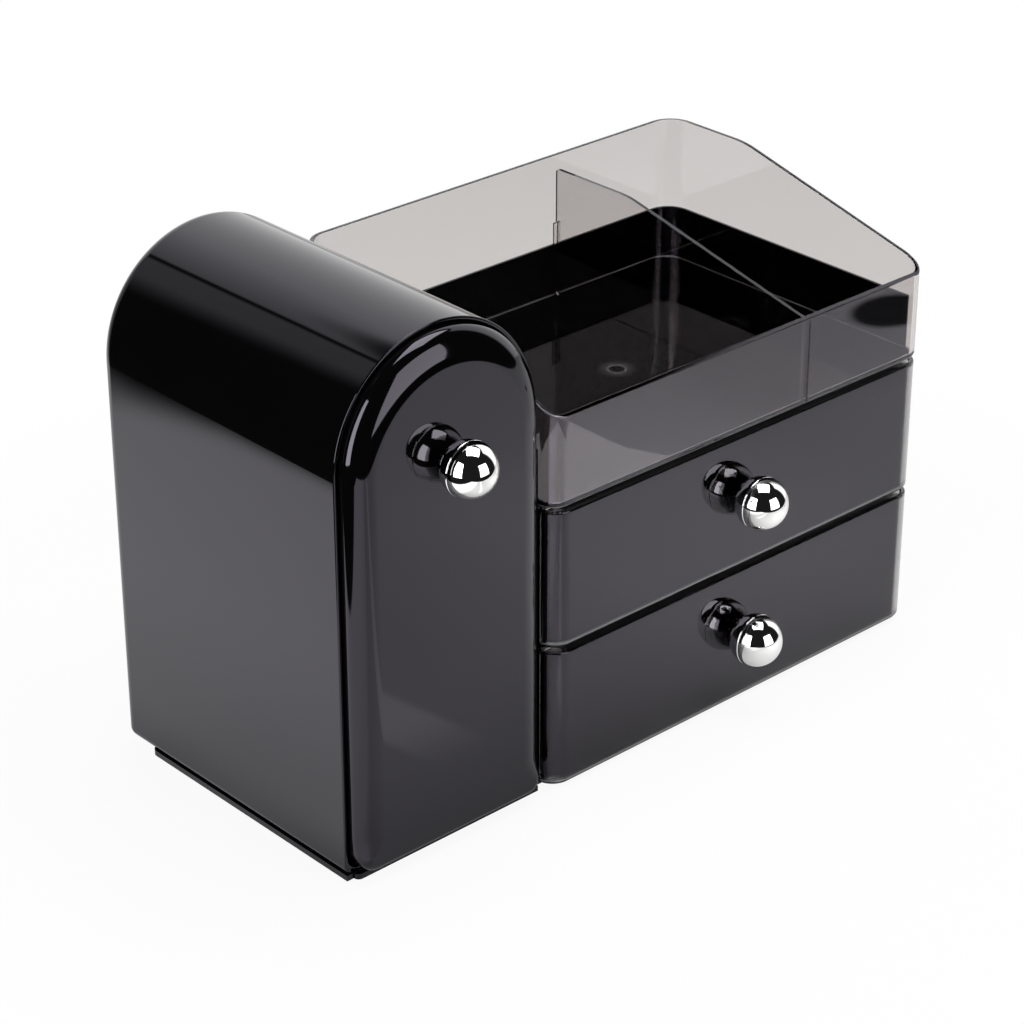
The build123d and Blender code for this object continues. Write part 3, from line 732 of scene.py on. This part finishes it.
for angle in quarter(8):
    inset = tray_wall + tray_inner * (1 - np.cos(angle))
    rows.append(flat_ring(tray_outline(inset), inner_floor + tray_inner * (1 - np.sin(angle))))
rows.append(flat_ring(tray_outline(tray_wall + tray_inner + EASE), inner_floor))
rows.append(flat_ring(heart_row, inner_floor))
tray = Piece()
tray.grid(np.array(rows), closed=True, flat_ends=True)
# The underside, its rounded edge and the floor are of the floor's darker smoke, a painted shade
ring, foot_strips = len(heart_row), 11
tray.finish[: foot_strips * ring] = [1] * (foot_strips * ring)
tray.finish[-ring:] = [1] * ring
# Two pairs of guides hold the divider's ends
divider_x, guide_top, guide_sides, guide_reach, guide_root = 78.15, 149.9, (0.95, 1.95), 1.0, 0.2
for side in (-1, 1):
    guide = sorted(divider_x + side * edge for edge in guide_sides)
    for wall_y, inward in ((tray_y[0] + tray_wall, 1), (tray_y[1] - tray_wall, -1)):
        depth = sorted((wall_y - inward * guide_root, wall_y + inward * guide_reach))
        tray.bar(guide, depth, (inner_floor - guide_root, guide_top))

# The divider's edge rests against the front wall, and where it shows through, the wall carries a
# painted shade line
tray_smoke = smoke_plastic("tray smoke", PALE_DYE)
x, y, z = millimetres(tray_smoke)
off = x - divider_x
divider_edge_shade = (1.0 - (off * off).step(0.08, 0.3)) * (1.0 - y.step(-58.7, -58.2))
# Painted shade: a dark line at the divider's edge
overlay(tray_smoke, 0.6 * divider_edge_shade * (1.0 - z.step(151.2, 151.8)), PAINTED_SHADE)

# In the floor, all painted: a line of painted shade along the divider's foot, a round gate mark as a
# painted highlight ring in a painted sheen, both given by squared distances, and a painted highlight
# line along the moulded foot
gate_x, gate_y = 45.65, 8.55
shaded_floor_smoke = smoke_plastic("tray floor shaded smoke", FLOOR_SHADE_DYE)
x, y, z = millimetres(shaded_floor_smoke)
off = x - divider_x
# Painted shade along the divider's foot
overlay(shaded_floor_smoke, 0.8 * (1.0 - (off * off).step(0.2, 0.5)), PAINTED_SHADE)
aside, behind = x - gate_x, y - gate_y
spread = aside * aside + behind * behind
# The gate mark's ring is a painted highlight, and the halo round it a painted sheen
gate = 0.14 * spread.band((9.0, 12.0), (13.0, 17.0)) + 0.05 * spread.band((6.0, 12.0), (12.0, 70.0))
# With the gate's painted highlights, a painted highlight line along the tray's moulded foot
overlay(shaded_floor_smoke, gate + 0.5 * z.band((117.2, 117.4), (117.8, 118.1)), PAINTED_HIGHLIGHT)
top_tray = tray.make("tray", tray_smoke, shaded_floor_smoke)
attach(top_tray, "tray")
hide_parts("top_tray")
dress("tray_divider", smoke_plastic("divider smoke", DIVIDER_DYE))

# Knobs: chromed balls in two halves with a fine seam between them, seated flat on the fronts
# and held by a screw from inside.

CHROME_DARK, CHROME_LIGHT = (0.80, 0.79, 0.78), (0.86, 0.86, 0.86)
chrome, principled, place = material("chrome")
principled.inputs["Metallic"].default_value = 1.0
handled = noise(place, 140.0, 3.0)
feed(principled, "Base Color", tint(place, handled, CHROME_DARK, CHROME_LIGHT))
feed(principled, "Roughness", 0.02 + 0.05 * handled)
bump = place.node("ShaderNodeBump", inputs={"Height": noise(place, 220.0), "Distance": 0.00001})
feed(principled, "Normal", bump)
knob_radius, knob_seat, seam_half, seam_depth = 10.3, 8.5, 0.15, 0.2
upper_knob_z, lower_knob_z = 89.7, 30.9
front_middle = (front_left + right) / 2


def ball(x, seat_y, z):
    """Ball about a line along y: an arc of the radius, a square groove at the middle, a seat."""
    seam = np.arcsin(seam_half / knob_radius)
    before = np.linspace(-np.pi / 2, -seam, 40)
    after = np.linspace(seam, np.arcsin(knob_seat / knob_radius), 30)
    profile = [(knob_radius * np.cos(a), knob_radius * np.sin(a)) for a in before]
    rim = profile[-1][0]
    profile += [(rim - seam_depth, -seam_half), (rim - seam_depth, seam_half)]
    profile += [(knob_radius * np.cos(a), knob_radius * np.sin(a)) for a in after]
    profile.append((0.0, knob_seat))
    profile = np.array(profile)
    turn = np.linspace(0, 2 * np.pi, 96, endpoint=False)
    radius, along = profile[:, :1], profile[:, 1:]
    across, up = x + radius * np.cos(turn), z + radius * np.sin(turn)
    depth = np.broadcast_to(seat_y - knob_seat + along, across.shape)
    piece = Piece()
    piece.grid(np.stack((across, depth, up), axis=-1), closed=True, flip=True)
    return piece


for name, x, seat_y, z in (
    ("brush", tower_middle, brush_face, brush_knob_z),
    ("upper", front_middle, face_y, upper_knob_z),
    ("lower", front_middle, face_y, lower_knob_z),
):
    knob = ball(x, seat_y, z).make(f"{name}_knob", chrome)
    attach(knob, f"{name}_drawer")
    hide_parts(f"{name}_drawer_knob")

# Screws and feet: zinc-plated pan heads hidden inside and under the base, and soft black pads
# let into its underside.

ZINC_DARK, ZINC_LIGHT = (0.42, 0.42, 0.43), (0.56, 0.56, 0.57)
RUBBER_DARK, RUBBER_LIGHT = (0.012, 0.012, 0.012), (0.025, 0.025, 0.025)
zinc, principled, place = material("zinc")
principled.inputs["Metallic"].default_value = 1.0
feed(principled, "Base Color", tint(place, noise(place, 600.0), ZINC_DARK, ZINC_LIGHT))
feed(principled, "Roughness", 0.25 + 0.15 * noise(place, 900.0))
for node in ("base_screws", "brush_tub_screws"):
    dress(node, zinc)
for drawer in ("brush", "upper", "lower"):
    dress(f"{drawer}_knob_screw", zinc)
rubber, principled, place = material("foot rubber")
feed(principled, "Base Color", tint(place, noise(place, 500.0), RUBBER_DARK, RUBBER_LIGHT))
feed(principled, "Roughness", 0.7 + 0.2 * noise(place, 800.0))
dress("feet", rubber)

# Camera: a long lens above the front left corner.

camera_data = bpy.data.cameras.new("camera")
camera_data.lens = 107.408
camera_data.sensor_width = 36.0
camera_data.shift_x = 0.0179
camera_data.shift_y = -0.0119
camera = bpy.data.objects.new("camera", camera_data)
camera_place = (-0.70585, -0.75185, 0.6154)
azimuth, elevation, roll = np.radians((42.1117, 27.395, -0.2003))
forward = np.array(
    (np.sin(azimuth) * np.cos(elevation), np.cos(azimuth) * np.cos(elevation), -np.sin(elevation))
)
level = np.array((np.cos(azimuth), -np.sin(azimuth), 0.0))
upright = np.cross(level, forward)
aside = level * np.cos(roll) + upright * np.sin(roll)
above = -level * np.sin(roll) + upright * np.cos(roll)
turned = Matrix(np.stack((aside, above, -forward), axis=1).tolist()).to_4x4()
camera.matrix_world = Matrix.Translation(camera_place) @ turned
scene.collection.objects.link(camera)
scene.camera = camera

# Table: a white top that ends a little to the left and in front of the object, in a studio with
# a white sweep behind and to the right and dark walls elsewhere.

(table_left, table_right), (table_front, table_rear) = (-0.34, 1.4), (-0.42, 1.4)
corners = (
    (table_left, table_front, 0.0),
    (table_right, table_front, 0.0),
    (table_right, table_rear, 0.0),
    (table_left, table_rear, 0.0),
)
table_mesh = bpy.data.meshes.new("table")
table_mesh.from_pydata(corners, [], [(0, 1, 2, 3)])
table = bpy.data.objects.new("table", table_mesh)
scene.collection.objects.link(table)
white, principled, place = material("table white")
table_mesh.materials.append(white)
principled.inputs["Base Color"].default_value = (0.8, 0.8, 0.8, 1.0)
principled.inputs["Roughness"].default_value = 0.9
principled.inputs["Specular IOR Level"].default_value = 0.1
tree = white.node_tree
ray = tree.nodes.new("ShaderNodeLightPath")
seen, mirrored = (Socket(tree, ray.outputs[f"Is {kind} Ray"]) for kind in ("Camera", "Glossy"))
east, north, _ = axes(place)

# The table glows for mirrored rays with painted light, a painted reflection of the table in front
# of the object: brighter to the right and some way out, and dimmer again towards its edge
beside, away = east.step(-0.03, 0.05), north.step(-0.06, -0.16)
in_front = 0.45 + 0.3 * beside + 0.5 * away - 0.2 * north.step(-0.2, -0.36)
# A painted slanting bright stripe, a painted pool of light before the drawers, and a painted shaded
# place at the right
slant = (east + 0.05) * 1000.0 - (north + 0.06) * 150.0
painted_glint = (1.0 - (slant * slant).step(100.0, 260.0)) * (1.0 - north.step(-0.14, -0.1))
painted_pool = east.band((0.03, 0.09), (0.15, 0.25)) * north.step(-0.3, -0.25)
painted_shaded_place = east.step(0.2, 0.28) * (1.0 - north.step(-0.24, -0.2))
in_front = in_front + 0.9 * painted_glint + 0.33 * painted_pool - 0.28 * painted_shaded_place
# Behind the front the painted glow has one level, and at the left of the object it is brightest
level = in_front + north.step(-0.06, 0.02) * (1.06 - in_front)
level = level + east.step(-0.14, -0.17) * (1.57 + 0.4 * east.step(-0.15, -0.25) - level)
# The painted glow darkens over its last millimetres at the left, less sharply towards the back, and a
# small painted dark oval darkens a place at the front right
fringe = (east + 0.343) * (1.0 / 0.014) * (1.0 - 0.75 * north.step(0.18, 0.34))
fading = 1.0 - fringe.step(0.0, 1.0)
across, along = (east - 0.373) * (1.0 / 0.025), (north + 0.267) * (1.0 / 0.018)
painted_dark_oval = 0.96 - 0.96 * (across * across + along * along).step(0.6, 1.3)
dark = 1.0 - (1.0 - fading) * (1.0 - painted_dark_oval)
glow = 1.0 + mirrored * (level * (1.0 - dark) - 1.0)
clear = place.node("ShaderNodeEmission", inputs={"Color": (1, 1, 1, 1), "Strength": glow})
# Seen directly it is almost all white, and takes a little more shadow near the object
far = (east * east + north * north).step(0.05, 0.12)
share = seen * (0.92 + 0.075 * far) + mirrored * (0.45 + 0.55 * dark)
mixed = place.node(
    "ShaderNodeMixShader", inputs={0: share, 1: Socket(tree, principled.outputs[0]), 2: clear}
)
tree.links.new(mixed.out, tree.nodes["Material Output"].inputs["Surface"])

world = bpy.data.worlds.new("studio")
scene.world = world
world.use_nodes = True
tree = world.node_tree
tree.nodes.clear()
way = Socket(tree, tree.nodes.new("ShaderNodeTexCoord").outputs["Generated"])
east, north, up = axes(way)

# Headings in degrees to the right of straight back, and heights in degrees. The sweep grows
# brighter from its left end to the right, and a dimmer strip stands apart from that end.
degrees = 180.0 / np.pi
heading = 90.0 - north.math("ARCTAN2", east) * degrees
height = up.math("ARCSINE") * degrees
rising = 0.62 + 0.58 * heading.step(-11.0, 20.0, "LINEAR")
strip = 0.4 * heading.band((-36.0, -25.0), (-15.0, -12.5))
below_top = 1.0 - height.step(44.0, 46.0)
sweep = heading.step(-11.5, -9.5) * rising + strip
sweep = sweep * (1.0 - heading.step(104.0, 112.0)) * below_top
shade = 0.012 + 1.08 * sweep
# Through the smoke pieces it is dimmer above than near the table
ray = tree.nodes.new("ShaderNodeLightPath")
seen, through = (Socket(tree, ray.outputs[f"Is {kind} Ray"]) for kind in ("Camera", "Transmission"))
low = 1.0 - height.step(8.0, 16.0)
dim = through * (0.28 + 0.85 * low - shade) * heading.step(-36.0, -25.0)
studio = way.node("ShaderNodeBackground", inputs={"Color": (1, 1, 1, 1), "Strength": shade + dim})
plain = way.node("ShaderNodeBackground", inputs={"Color": (1, 1, 1, 1), "Strength": 1.0})
both = way.node("ShaderNodeMixShader", inputs={0: seen, 1: studio, 2: plain})
sky = tree.nodes.new("ShaderNodeOutputWorld")
tree.links.new(both.out, sky.inputs["Surface"])

# Lamps: a square softbox overhead, turned to stand square to the camera, and a tall one each at
# the left and in front.


def softbox(name, place, aim, size, radiance, turn=0.0):
    """Rectangular area lamp that gives off the same radiance all over, not seen directly."""
    data = bpy.data.lights.new(name, "AREA")
    data.shape = "RECTANGLE"
    data.size, data.size_y = size
    data.energy = radiance * np.pi * size[0] * size[1]
    lamp = bpy.data.objects.new(name, data)
    direction = Vector(aim) - Vector(place)
    turned = direction.to_track_quat("-Z", "Y").to_matrix().to_4x4()
    lamp.matrix_world = Matrix.Translation(place) @ turned @ Matrix.Rotation(turn, 4, "Z")
    lamp.visible_camera = False
    scene.collection.objects.link(lamp)


softbox(
    "overhead",
    place=(0.16, -0.08, 1.0),
    aim=(0.16, -0.08, 0.0),
    size=(0.66, 0.66),
    radiance=5.4,
    turn=np.radians(-40),
)
softbox("left", place=(-1.0, -0.16, 0.5), aim=(0.0, -0.16, 0.5), size=(0.52, 1.0), radiance=6.5)
softbox("front", place=(0.26, -1.08, 0.4), aim=(0.26, 0.0, 0.4), size=(0.74, 0.8), radiance=3.2)

scene.view_settings.view_transform = "Standard"
